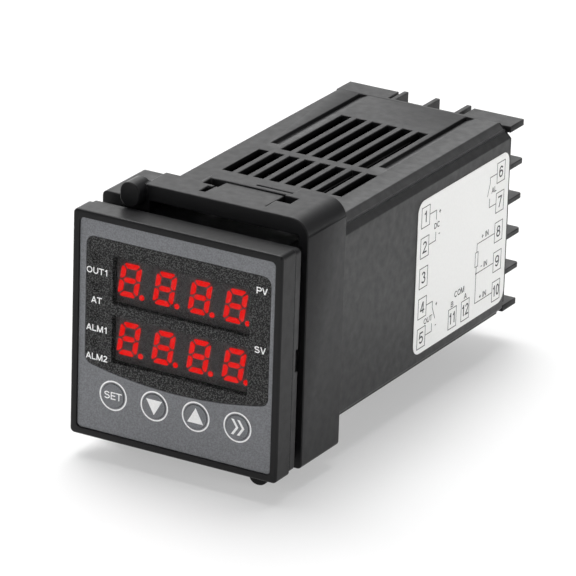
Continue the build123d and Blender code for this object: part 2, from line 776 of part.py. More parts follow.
# Upper half of the mounting collar
collar_depth = collar_rear - collar_front
collar_bore = case_half + running_gap
collar_half_width = collar_bore + collar_side_wall
collar_half_height = collar_bore + collar_end_wall
bridge_top = collar_half_height + bridge_rise
foot_top = collar_half_height + foot_rise
foot_bottom = flange_height / 2 + seat_gap
slit_end = tongue_end + tongue_slit
bridge_under = bridge_top - bridge_thickness
hollow_right = collar_half_width - bridge_side_wall
with BuildPart() as collar_half:
    with BuildSketch(across(collar_front)) as ring_outline:
        with Locations((0, collar_half_height / 2)):
            Rectangle(2 * collar_half_width, collar_half_height)
        fillet(ring_outline.vertices().group_by(Axis.Y)[-1].sort_by(Axis.X)[0], collar_corner)
    extrude(amount=-collar_depth)
    # Raised bridge, with a large round corner where it becomes the side wall
    with BuildSketch(across(collar_front)) as bridge_outline:
        with Locations(((bridge_left + collar_half_width) / 2, (collar_bore + bridge_top) / 2)):
            Rectangle(collar_half_width - bridge_left, bridge_top - collar_bore)
        bridge_corners = bridge_outline.vertices().group_by(Axis.Y)[-1].sort_by(Axis.X)
        fillet(bridge_corners[-1], bridge_corner)
        fillet(bridge_corners[0], bridge_edge)
    extrude(amount=-collar_depth)
    # The rear of the bridge steps forward towards its end
    with BuildSketch(Plane.XY.offset(collar_half_height)):
        for right, rear in (
            (bridge_short_right, bridge_short_rear),
            (bridge_middle_right, bridge_middle_rear),
        ):
            with Locations(((bridge_left + right) / 2, (rear + collar_rear) / 2)):
                Rectangle(right - bridge_left, collar_rear - rear)
    extrude(amount=bridge_top - collar_half_height, mode=Mode.SUBTRACT)
    # Hollow under the bridge, open to the front and down to the case
    with BuildSketch(Plane.XY.offset(collar_bore)):
        for left, rear in (
            (bridge_left + bridge_wall, bridge_short_rear - bridge_wall),
            (bridge_short_right + bridge_wall, slit_end),
            (bridge_middle_right + bridge_wall, collar_rear - bridge_wall),
        ):
            with Locations(((left + hollow_right) / 2, (collar_front + rear) / 2)):
                Rectangle(hollow_right - left, rear - collar_front)
    extrude(amount=bridge_under - collar_bore, mode=Mode.SUBTRACT)
    # Foot that bears on the panel
    with BuildSketch(across(seat_gap)) as foot_outline:
        with Locations(((foot_left + foot_right) / 2, (foot_top + foot_bottom) / 2)):
            Rectangle(foot_right - foot_left, foot_top - foot_bottom)
        fillet(foot_outline.vertices(), foot_corner)
    extrude(amount=-(foot_rear - seat_gap))
    # Low finger behind the bridge
    with BuildSketch(Plane.XY.offset(collar_half_height)):
        with Locations(((finger_left + bridge_middle_right) / 2, (finger_start + finger_end) / 2)):
            Rectangle(bridge_middle_right - finger_left, finger_end - finger_start)
    extrude(amount=bridge_rise)
    # Tongue: slits at its sides and its free end, and a window beside each rear corner
    with BuildSketch(Plane.XY.offset(bridge_under)):
        for left, right, start, end in (
            (tongue_left - tongue_slit, tongue_left, tongue_root, slit_end),
            (tongue_right, tongue_right + tongue_slit, tongue_root, slit_end),
            (tongue_left, tongue_right, tongue_end, slit_end),
            (tongue_left - left_slit_width, tongue_left, tongue_root, left_slit_end),
            (left_window_left, left_window_right, left_window_start, tongue_end),
            (tongue_right, right_window_right, right_window_start, right_window_end),
        ):
            with Locations(((left + right) / 2, (start + end) / 2)):
                Rectangle(right - left, end - start)
    extrude(amount=bridge_thickness, mode=Mode.SUBTRACT)
    # Its top falls a little towards the rear
    with BuildSketch(Plane.YZ.offset(tongue_left)):
        Polygon(
            (tongue_root, bridge_top),
            (slit_end, bridge_top - tongue_drop),
            (slit_end, bridge_top),
        )
    extrude(amount=tongue_right - tongue_left, mode=Mode.SUBTRACT)
    # A tooth under its free end reaches down to the case
    with BuildSketch(Plane.XY.offset(collar_bore)):
        with Locations(((tongue_left + tongue_right) / 2, tongue_end - tooth_length / 2)):
            Rectangle(tooth_width, tooth_length)
    extrude(amount=bridge_under - collar_bore)

# Mounting collar: its lower half is the same, turned half round
with BuildPart() as mounting_collar:
    with Locations(Location((0, 0, 0)), Location((0, 0, 0), (0, 180, 0))):
        add(collar_half.part)
    with BuildSketch(across(collar_front)):
        Rectangle(2 * collar_bore, 2 * collar_bore)
    extrude(amount=-collar_depth, mode=Mode.SUBTRACT)
finish(mounting_collar, "mounting_collar")
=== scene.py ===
"""Looks of the panel temperature controller: finishes, print, lettering and small parts."""

import json
import math

import bmesh
import bpy
from mathutils import Matrix, Vector


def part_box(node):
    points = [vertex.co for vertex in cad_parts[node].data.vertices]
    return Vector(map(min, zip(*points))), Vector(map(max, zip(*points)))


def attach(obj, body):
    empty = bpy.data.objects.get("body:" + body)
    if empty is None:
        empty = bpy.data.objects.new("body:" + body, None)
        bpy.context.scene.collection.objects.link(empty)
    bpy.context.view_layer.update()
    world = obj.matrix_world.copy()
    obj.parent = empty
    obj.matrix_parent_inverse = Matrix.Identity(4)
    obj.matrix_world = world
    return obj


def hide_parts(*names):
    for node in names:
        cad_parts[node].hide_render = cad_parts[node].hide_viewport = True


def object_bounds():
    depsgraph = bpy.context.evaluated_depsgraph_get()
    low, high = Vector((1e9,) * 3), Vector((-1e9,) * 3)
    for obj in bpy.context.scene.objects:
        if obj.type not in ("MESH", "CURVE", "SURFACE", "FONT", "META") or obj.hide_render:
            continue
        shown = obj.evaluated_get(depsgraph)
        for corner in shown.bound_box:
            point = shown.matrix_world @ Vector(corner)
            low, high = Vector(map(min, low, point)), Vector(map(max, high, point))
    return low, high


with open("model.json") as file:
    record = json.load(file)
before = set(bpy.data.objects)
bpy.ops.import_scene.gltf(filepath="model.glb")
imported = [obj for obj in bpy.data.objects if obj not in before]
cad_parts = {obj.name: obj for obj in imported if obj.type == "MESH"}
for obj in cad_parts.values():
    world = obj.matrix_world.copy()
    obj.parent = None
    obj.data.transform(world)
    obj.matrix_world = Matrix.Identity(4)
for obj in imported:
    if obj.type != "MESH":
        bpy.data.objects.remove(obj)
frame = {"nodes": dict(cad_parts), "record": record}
CAD_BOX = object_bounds()
NODES = frame["nodes"]
MM = 0.001

# Camera, from a pinhole fit of the photograph: place, aim and clipping in metres, roll in
# degrees, focal length and sensor in millimetres
CAMERA_PLACE = Vector((0.50982, -0.86326, 0.40171))
CAMERA_AIM = Vector((-0.00247, 0.04176, -0.00414))
CAMERA_ROLL = 1.815
FOCAL_LENGTH = 340.5
SENSOR_WIDTH = 36.0
CLIP_START = 0.05
CLIP_END = 20

# Light. The world's fill grows from its far side to its bright side. A lamp has its name, its
# place and its size in metres, and its power in watts.
WORLD_BRIGHT_SIDE = Vector((-0.55, 0.75, 0.35)).normalized()
WORLD_FILL = ((0.35, 0.2), (0.62, 0.28), (0.82, 0.85), (0.95, 1.75))
FLOOR_SIZE = 12.0
FLOOR_GAP = 0.05 * MM
FLOOR_GREY = 0.86
FLOOR_SHOW_THROUGH = 0.4    # share of plain white in what the camera sees of the floor
LAMPS = (
    ("top_lamp", (-0.25, 0.25, 1.1), 0.8, 14.5),
    ("front_lamp", (-0.4, -2.2, 1.0), 1.6, 12.0),
    ("side_lamp", (2.6, 0.39, 0.5), 0.9, 16.8),
    ("rear_lamp", (-2.2, 1.6, 0.7), 1.2, 9.0),
)

# Print: thickness, how far it lies off the surface that carries it, and the levels of its shapes
INK = 0.015 * MM
INK_LIFT = 0.004 * MM
LAYERS = 5
LAYER_STEP = 0.001 * MM

# Places taken from the frame
FILM_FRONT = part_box("front_film")[0].y
WINDOW_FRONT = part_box("display_window")[0].y
LABEL_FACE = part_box("wiring_label")[1].x
KEY_NODES = ("key_set", "key_down", "key_up", "key_shift")


# Finishes. Scales of noise are in features a millimetre.

NOISE_LOW, NOISE_HIGH = 0.3, 0.7    # nearly all of a noise lies between these
GLOSS_SPREAD = 0.05
BOARD_CELLS = 0.15
BOARD_RING = 0.1
WINDOW_COVER = 0.97                 # how much the window hides outside its panes
PANE_CLEARNESS = 0.72
LAMP_PANE_CLEARNESS = 0.16
LAMP_PANE_HALF = 1.0
LAMP_PANES = ((-18.8, 14.3), (-18.8, 8.2), (-18.8, 2.0), (-18.8, -3.9))


def fresh_material(name):
    """A new material with its node tree, and its Principled shader."""
    material = bpy.data.materials.new(name)
    material.use_nodes = True
    return material, material.node_tree, material.node_tree.nodes["Principled BSDF"]


def set_values(node, **values):
    """Sets inputs of a node by name."""
    for name, value in values.items():
        node.inputs[name.replace("_", " ")].default_value = value


def add_node(tree, kind, **values):
    """A node of this kind, with inputs set by name."""
    node = tree.nodes.new(kind)
    set_values(node, **values)
    return node


def math_node(tree, operation, first, second):
    """Math on two values, each of them an output of a node or a number."""
    node = tree.nodes.new("ShaderNodeMath")
    node.operation = operation
    for socket, value in zip(node.inputs, (first, second)):
        if isinstance(value, (int, float)):
            socket.default_value = value
        else:
            tree.links.new(value, socket)
    return node.outputs["Value"]


def noise(tree, scale, detail=3.0, roughness=0.5):
    """Noise in object space."""
    place = tree.nodes.new("ShaderNodeTexCoord")
    texture = add_node(
        tree, "ShaderNodeTexNoise", Scale=scale / MM, Detail=detail, Roughness=roughness,
    )
    tree.links.new(place.outputs["Object"], texture.inputs["Vector"])
    return texture.outputs["Fac"]


def ramp(tree, factor, stops):
    """Colour ramp from (position, colour) pairs; a colour may be one grey level."""
    node = tree.nodes.new("ShaderNodeValToRGB")
    elements = node.color_ramp.elements
    while len(elements) < len(stops):
        elements.new(0.5)
    for element, (position, colour) in zip(elements, stops):
        level = (colour,) * 3 if isinstance(colour, (int, float)) else tuple(colour)
        element.position = position
        element.color = (*level, 1.0)
    tree.links.new(factor, node.inputs["Fac"])
    return node.outputs["Color"]


def uneven_tone(tree, source, low, high):
    """Tone that goes from one colour to another with a noise."""
    return ramp(tree, source, ((NOISE_LOW, low), (NOISE_HIGH, high)))


def remap(tree, value, low, high, from_low=NOISE_LOW, from_high=NOISE_HIGH):
    """Value stretched from its own range to this one."""
    node = add_node(
        tree, "ShaderNodeMapRange", From_Min=from_low, From_Max=from_high, To_Min=low, To_Max=high,
    )
    tree.links.new(value, node.inputs["Value"])
    return node.outputs["Result"]


def bump(tree, height, distance):
    """Bump of this depth in metres."""
    node = add_node(tree, "ShaderNodeBump", Strength=1.0, Distance=distance)
    tree.links.new(height, node.inputs["Height"])
    return node.outputs["Normal"]


def blend_shaders(tree, share, first, second):
    """Surface made of two shaders, with this share of the second."""
    mix = tree.nodes.new("ShaderNodeMixShader")
    tree.links.new(share, mix.inputs["Fac"])
    tree.links.new(first, mix.inputs[1])
    tree.links.new(second, mix.inputs[2])
    tree.links.new(mix.outputs["Shader"], tree.nodes["Material Output"].inputs["Surface"])


def scaled(colour, factor):
    """Colour made lighter or darker."""
    return tuple(channel * factor for channel in colour)


def moulded(name, colour, roughness=0.42, specular=0.28, grain=7.0, depth=0.006, mottle=0.12):
    """Moulded plastic: an eroded grain, and slow changes of tone and gloss."""
    material, tree, shader = fresh_material(name)
    slow = noise(tree, 0.12, detail=4.0)
    tone = uneven_tone(tree, slow, scaled(colour, 1 - mottle), scaled(colour, 1 + mottle))
    tree.links.new(tone, shader.inputs["Base Color"])
    uneven = noise(tree, 0.5, detail=5.0)
    gloss = remap(tree, uneven, roughness - GLOSS_SPREAD, roughness + GLOSS_SPREAD)
    tree.links.new(gloss, shader.inputs["Roughness"])
    relief = bump(tree, noise(tree, grain, detail=2.0), depth * MM)
    tree.links.new(relief, shader.inputs["Normal"])
    set_values(shader, Specular_IOR_Level=specular)
    return material


def speckled(name, colour, amount, size=4.0, roughness=0.45, specular=0.3):
    """Printed film or paint with a fine speckle, lighter and darker than its ground."""
    material, tree, shader = fresh_material(name)
    fine = noise(tree, size, detail=1.0, roughness=0.6)
    tone = ramp(tree, fine, (
        (0.34, scaled(colour, 1 - amount)),
        (0.5, colour),
        (0.66, scaled(colour, 1 + amount)),
    ))
    tree.links.new(tone, shader.inputs["Base Color"])
    tree.links.new(bump(tree, fine, 0.004 * MM), shader.inputs["Normal"])
    set_values(shader, Roughness=roughness, Specular_IOR_Level=specular)
    return material


def plated(name, colour, roughness=0.28):
    """Plated metal with fine scratches and a slightly uneven shine."""
    material, tree, shader = fresh_material(name)
    tone = uneven_tone(tree, noise(tree, 0.6, detail=4.0), scaled(colour, 0.82), colour)
    tree.links.new(tone, shader.inputs["Base Color"])
    scratch = noise(tree, 5.0, detail=3.0)
    gloss = remap(tree, scratch, roughness - 0.1, roughness + 0.14)
    tree.links.new(gloss, shader.inputs["Roughness"])
    tree.links.new(bump(tree, scratch, 0.001 * MM), shader.inputs["Normal"])
    set_values(shader, Metallic=1.0)
    return material


def glossy(name, colour, roughness=0.2, mottle=0.1, grain=1.5, depth=0.004):
    """Smooth cast or taped surface with a soft unevenness."""
    return moulded(name, colour, roughness, 0.4, grain, depth, mottle)


def circuit_board(name):
    """Green solder mask, lighter over copper tracks, with an uneven gloss."""
    material, tree, shader = fresh_material(name)
    place = tree.nodes.new("ShaderNodeTexCoord")
    cells = add_node(tree, "ShaderNodeTexVoronoi", Scale=BOARD_CELLS / MM)
    cells.distance = "MANHATTAN"
    cells.feature = "F1"
    tree.links.new(place.outputs["Object"], cells.inputs["Vector"])
    rings = math_node(tree, "PINGPONG", cells.outputs["Distance"], BOARD_RING)
    tracks = ramp(tree, remap(tree, rings, 0.0, 1.0, 0.0, BOARD_RING), (
        (0.44, (0.008, 0.060, 0.026)),
        (0.56, (0.026, 0.165, 0.062)),
    ))
    tree.links.new(tracks, shader.inputs["Base Color"])
    tree.links.new(bump(tree, tracks, 0.02 * MM), shader.inputs["Normal"])
    gloss = remap(tree, noise(tree, 0.8), 0.25, 0.4)
    tree.links.new(gloss, shader.inputs["Roughness"])
    return material


def lit(name, colour, strength, unlit):
    """Lit plastic: its glow, a little uneven, on a body of its own colour."""
    material, tree, shader = fresh_material(name)
    uneven = noise(tree, 1.2, detail=2.0)
    glow = uneven_tone(tree, uneven, scaled(colour, 0.9), colour)
    tree.links.new(glow, shader.inputs["Emission Color"])
    tone = uneven_tone(tree, uneven, scaled(unlit, 0.85), unlit)
    tree.links.new(tone, shader.inputs["Base Color"])
    set_values(shader, Emission_Strength=strength, Roughness=0.4, Specular_IOR_Level=0.1)
    return material


def pane_share(tree, panes):
    """How much of what lies behind shows through, from the panes' corners and clearness."""
    place = tree.nodes.new("ShaderNodeTexCoord")
    axes = tree.nodes.new("ShaderNodeSeparateXYZ")
    tree.links.new(place.outputs["Object"], axes.inputs["Vector"])
    shown = 0.0
    for low, high, clearness in panes:
        pane = clearness
        for axis, at, operation in (
            ("X", low[0], "GREATER_THAN"), ("X", high[0], "LESS_THAN"),
            ("Z", low[1], "GREATER_THAN"), ("Z", high[1], "LESS_THAN"),
        ):
            test = math_node(tree, operation, axes.outputs[axis], at)
            pane = math_node(tree, "MULTIPLY", test, pane)
        shown = math_node(tree, "ADD", pane, shown)
    return shown


def tinted_window(name, panes):
    """Dark window with a fine grain. It lets more through over the display panes."""
    material, tree, shader = fresh_material(name)
    fine = noise(tree, 3.6, detail=1.5, roughness=0.6)
    tone = ramp(tree, fine, ((0.4, 0.003), (0.5, 0.012), (0.6, 0.085)))
    tree.links.new(tone, shader.inputs["Base Color"])
    tree.links.new(bump(tree, fine, 0.006 * MM), shader.inputs["Normal"])
    set_values(shader, Roughness=0.45, Specular_IOR_Level=0.22)
    clear = add_node(tree, "ShaderNodeBsdfTransparent", Color=(0.75, 0.75, 0.75, 1))
    cover = remap(tree, pane_share(tree, panes), WINDOW_COVER, 0.0, 0.0, 1.0)
    blend_shaders(tree, cover, clear.outputs["BSDF"], shader.outputs["BSDF"])
    return material


def window_panes():
    """Clearer places of the window: corners (X, Z) and how much they let through."""
    panes = []
    for node in ("pv_display", "sv_display"):
        low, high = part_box(node)
        panes.append(((low.x, low.z), (high.x, high.z), PANE_CLEARNESS))
    for u, v in LAMP_PANES:
        low = ((u - LAMP_PANE_HALF) * MM, (v - LAMP_PANE_HALF) * MM)
        high = ((u + LAMP_PANE_HALF) * MM, (v + LAMP_PANE_HALF) * MM)
        panes.append((low, high, LAMP_PANE_CLEARNESS))
    return panes


def make_materials():
    """All finishes, by the names of the record's slots and of the print."""
    black = (0.0088, 0.0088, 0.0096)
    return {
        "case_plastic": moulded("case_plastic", black, specular=0.21, mottle=0.05),
        "bezel_plastic": moulded(
            "bezel_plastic", scaled(black, 0.72), roughness=0.4, specular=0.22, mottle=0.05,
        ),
        "film": speckled("film", (0.190, 0.195, 0.207), 0.17, size=3.8),
        "window": tinted_window("window", window_panes()),
        "display_body": speckled("display_body", (0.42, 0.42, 0.427), 0.35, size=4.0),
        "figures": lit("figures", (1.0, 0.003, 0.001), 2.5, (0.25, 0.01, 0.01)),
        "lamp": glossy("lamp", (0.5, 0.5, 0.48)),
        "key_plastic": speckled("key_plastic", (0.182, 0.187, 0.199), 0.16, size=3.8),
        "switch_body": moulded("switch_body", (0.02, 0.02, 0.021)),
        "board": circuit_board("board"),
        "ferrite": moulded("ferrite", (0.035, 0.033, 0.032), roughness=0.6),
        "coil_tape": glossy("coil_tape", (0.72, 0.42, 0.04), roughness=0.25),
        "relay_case": glossy("relay_case", (0.012, 0.06, 0.24), roughness=0.3),
        "black_box": glossy("black_box", (0.014, 0.014, 0.015), roughness=0.35),
        "capacitor_sleeve": glossy("capacitor_sleeve", (0.01, 0.012, 0.03), roughness=0.2),
        "film_box": glossy("film_box", (0.62, 0.36, 0.03), roughness=0.3),
        "chip": moulded("chip", (0.012, 0.012, 0.012), roughness=0.5),
        "steel": plated("steel", (0.44, 0.44, 0.43), roughness=0.3),
        "brass": plated("brass", (0.62, 0.52, 0.3)),
        "label": speckled("label", (0.92, 0.92, 0.906), 0.012, size=1.5, roughness=0.5),
        "white_ink": speckled("white_ink", (0.95, 0.95, 0.95), 0.04, size=3.0),
        "black_ink": speckled("black_ink", (0.02, 0.02, 0.022), 0.4, size=3.0),
    }


# Pieces from the frame

WELD = 0.0005 * MM          # points nearer than this are one
FLAT_ANGLE = 0.4            # degrees between faces that are taken as one
SHARP_ANGLE = 35            # degrees at an edge that is rounded
BAR_CUT = 0.36              # off the length of each lit bar
FIGURE_SLANT = 0.158        # sideways for each millimetre up
DOT_LIMIT = 1.4             # a smaller solid among the bars is a dot
DOT_GROWTH = 0.1            # share that a dot gains in size

# Nodes whose edges are rounded in the picture, and by how many millimetres
ROUNDED = {
    "case_tube": 0.16, "front_bezel": 0.14, "mounting_collar": 0.22, "terminal_block": 0.16,
    "output_relay": 0.5, "alarm_relay": 0.45, "film_capacitor": 0.6, "controller_chip": 0.12,
    "driver_chip": 0.15, "joint_blocks": 0.2, "transformer_core": 0.25,
}


def new_object(name, data):
    """Object in the scene, made of this data."""
    thing = bpy.data.objects.new(name, data)
    bpy.context.scene.collection.objects.link(thing)
    return thing


def paint(mesh, material):
    """One finish for a whole mesh."""
    mesh.materials.clear()
    mesh.materials.append(material)
    for polygon in mesh.polygons:
        polygon.material_index = 0


def mesh_copy(name, ending):
    """Copy of a CAD node's mesh, and its points and faces to work on."""
    mesh = NODES[name].data.copy()
    mesh.name = name + ending
    work = bmesh.new()
    work.from_mesh(mesh)
    bmesh.ops.remove_doubles(work, verts=work.verts, dist=WELD)
    return mesh, work


def stand_in(name, piece):
    """Puts a piece in the place of a CAD node."""
    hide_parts(name)
    slot_of(name)
    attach(piece, body_of(name))


def dress(name, width, material):
    """Copy of a CAD node with its sharp edges rounded. It stands for the node."""
    mesh, work = mesh_copy(name, "_rounded")
    bmesh.ops.dissolve_limit(
        work, angle_limit=math.radians(FLAT_ANGLE), use_dissolve_boundaries=False,
        verts=work.verts, edges=work.edges,
    )
    work.to_mesh(mesh)
    work.free()
    piece = new_object(name + "_piece", mesh)
    paint(mesh, material)
    for polygon in mesh.polygons:
        polygon.use_smooth = True
    mesh.set_sharp_from_angle(angle=math.radians(SHARP_ANGLE))
    edge = piece.modifiers.new("edges", "BEVEL")
    edge.width = width * MM
    edge.segments = 2
    edge.limit_method = "ANGLE"
    edge.angle_limit = math.radians(SHARP_ANGLE)
    edge.use_clamp_overlap = False
    edge.harden_normals = False
    stand_in(name, piece)


def islands(work):
    """Vertices of each separate solid of a mesh."""
    seen = set()
    for start in work.verts:
        if start.index in seen:
            continue
        seen.add(start.index)
        queue, island = [start], []
        while queue:
            vertex = queue.pop()
            island.append(vertex)
            for edge in vertex.link_edges:
                other = edge.other_vert(vertex)
                if other.index not in seen:
                    seen.add(other.index)
                    queue.append(other)
        yield island


def part_bar(island):
    """Shortens one lit bar at both ends, or enlarges a dot."""
    places = [(vertex.co.x, vertex.co.z) for vertex in island]
    low = Vector(min(place[i] for place in places) for i in range(2))
    high = Vector(max(place[i] for place in places) for i in range(2))
    middle, size = (low + high) / 2, high - low
    for vertex in island:
        across, up = vertex.co.x - middle.x, vertex.co.z - middle.y
        if max(size) < DOT_LIMIT * MM:
            vertex.co.x += across * DOT_GROWTH
            vertex.co.z += up * DOT_GROWTH
        elif size.x > size.y:
            vertex.co.x -= across * BAR_CUT * MM / size.x
        else:
            drop = up * BAR_CUT * MM / size.y
            vertex.co.z -= drop
            vertex.co.x -= drop * FIGURE_SLANT


def lit_figures(name, material):
    """Copy of a display's lit bars with a clearer gap between them. It stands for the node."""
    mesh, work = mesh_copy(name, "_parted")
    work.verts.index_update()
    for island in islands(work):
        part_bar(island)
    work.to_mesh(mesh)
    work.free()
    piece = new_object(name + "_piece", mesh)
    paint(mesh, material)
    stand_in(name, piece)


def slot_of(node):
    """Record's material slot of a CAD node."""
    for row in frame["record"]["subparts"]:
        if row["node"] == node:
            return row["material_slot"]


def body_of(node):
    """Body that a CAD node rides on."""
    for body, members in frame["record"]["behaviour"]["bodies"].items():
        if node in members:
            return body


# Print

RING_STEPS = 72
DISC_STEPS = 18
LETTER_STEPS = 24


class Sheet:
    """Print on one plane, gathered as flat faces: u to the right, v up, in millimetres."""

    def __init__(self):
        self.work = bmesh.new()
        self.layers = 0

    def points(self, places):
        """New points. A shape lies a little above the last one, so that no two share a plane."""
        height = (self.layers % LAYERS) * LAYER_STEP
        return [self.work.verts.new((u * MM, v * MM, height)) for u, v in places]

    def polygon(self, places):
        """Filled shape with these corners."""
        self.work.faces.new(self.points(places))
        self.layers += 1

    def band(self, left, right, closed=False):
        """Strip between two rows of places."""
        left, right = self.points(left), self.points(right)
        for i in range(len(left) - (0 if closed else 1)):
            j = (i + 1) % len(left)
            self.work.faces.new((left[i], left[j], right[j], right[i]))
        self.layers += 1

    def stroke(self, places, width, closed=False):
        """Line of this width through the places, with mitred corners and square ends."""
        last = len(places) - 1
        left, right = [], []
        for i, (u, v) in enumerate(places):
            normals = []
            if i > 0 or closed:
                normals.append(normal_of(places[i - 1], places[i]))
            if i < last or closed:
                normals.append(normal_of(places[i], places[(i + 1) % (last + 1)]))
            across = sum(normals, Vector((0, 0))).normalized()
            across *= width / 2 / across.dot(normals[0])
            left.append((u + across.x, v + across.y))
            right.append((u - across.x, v - across.y))
        self.band(left, right, closed)

    def slope(self, start, end, width):
        """Sloping stroke of a letter, cut off level at both ends."""
        run, rise = end[0] - start[0], end[1] - start[1]
        half = width / 2 * math.hypot(run, rise) / abs(rise)
        self.polygon((
            (start[0] - half, start[1]), (start[0] + half, start[1]),
            (end[0] + half, end[1]), (end[0] - half, end[1]),
        ))

    def frame(self, u0, v0, u1, v1, width):
        """Outline of a rectangle."""
        self.stroke(((u0, v0), (u1, v0), (u1, v1), (u0, v1)), width, closed=True)

    def ring(self, u, v, outer, inner):
        """Ring round a place, between two radii."""
        middle = (outer + inner) / 2
        self.stroke(loop(u, v, middle, middle, RING_STEPS), outer - inner, closed=True)

    def disc(self, u, v, radius):
        """Filled circle."""
        self.polygon(loop(u, v, radius, radius, DISC_STEPS))

    def words(self, text, u, v, height, weight=0.12, spread=1.0):
        """Plain lettering centred on a place. Weight is the stroke's width over the height."""
        scale = height * spread
        at = u - sum(letter(character, weight)[0] for character in text) * scale / 2
        for character in text:
            advance, strokes = letter(character, weight)
            for kind, places in strokes:
                placed = [(at + x * scale, v + (y - 0.5) * height) for x, y in places]
                if kind == "slope":
                    self.slope(placed[0], placed[1], weight * height)
                else:
                    self.stroke(placed, weight * height, closed=kind == "loop")
            at += advance * scale

    def place(self, name, origin, u_axis, v_axis, material, slot, body):
        """Puts the print on its surface, as a thin layer that faces outwards."""
        u_axis, v_axis = Vector(u_axis), Vector(v_axis)
        normal = u_axis.cross(v_axis)
        matrix = Matrix.Translation(Vector(origin) + normal * (INK_LIFT + INK))
        matrix @= Matrix((u_axis, v_axis, normal)).transposed().to_4x4()
        self.work.transform(matrix)
        for face in self.work.faces:
            face.normal_update()
            if face.normal.dot(normal) < 0:
                face.normal_flip()
        mesh = bpy.data.meshes.new(name)
        self.work.to_mesh(mesh)
        self.work.free()
        piece = new_object(name, mesh)
        mesh.materials.append(material)
        layer = piece.modifiers.new("layer", "SOLIDIFY")
        layer.thickness = INK
        layer.offset = -1.0
        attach(piece, body)


def normal_of(start, end):
    """Direction square to a run, to its left."""
    run = Vector(end) - Vector(start)
    return Vector((-run.y, run.x)).normalized()


def arc(x, y, wide, high, start, end, steps=12):
    """Places along part of an ellipse, between two angles in degrees."""
    turns = [math.radians(start + (end - start) * i / steps) for i in range(steps + 1)]
    return [(x + wide * math.cos(turn), y + high * math.sin(turn)) for turn in turns]


def loop(x, y, wide, high, steps=LETTER_STEPS):
    """Places all round an ellipse."""
    return arc(x, y, wide, high, 0, 360 - 360 / steps, steps - 1)


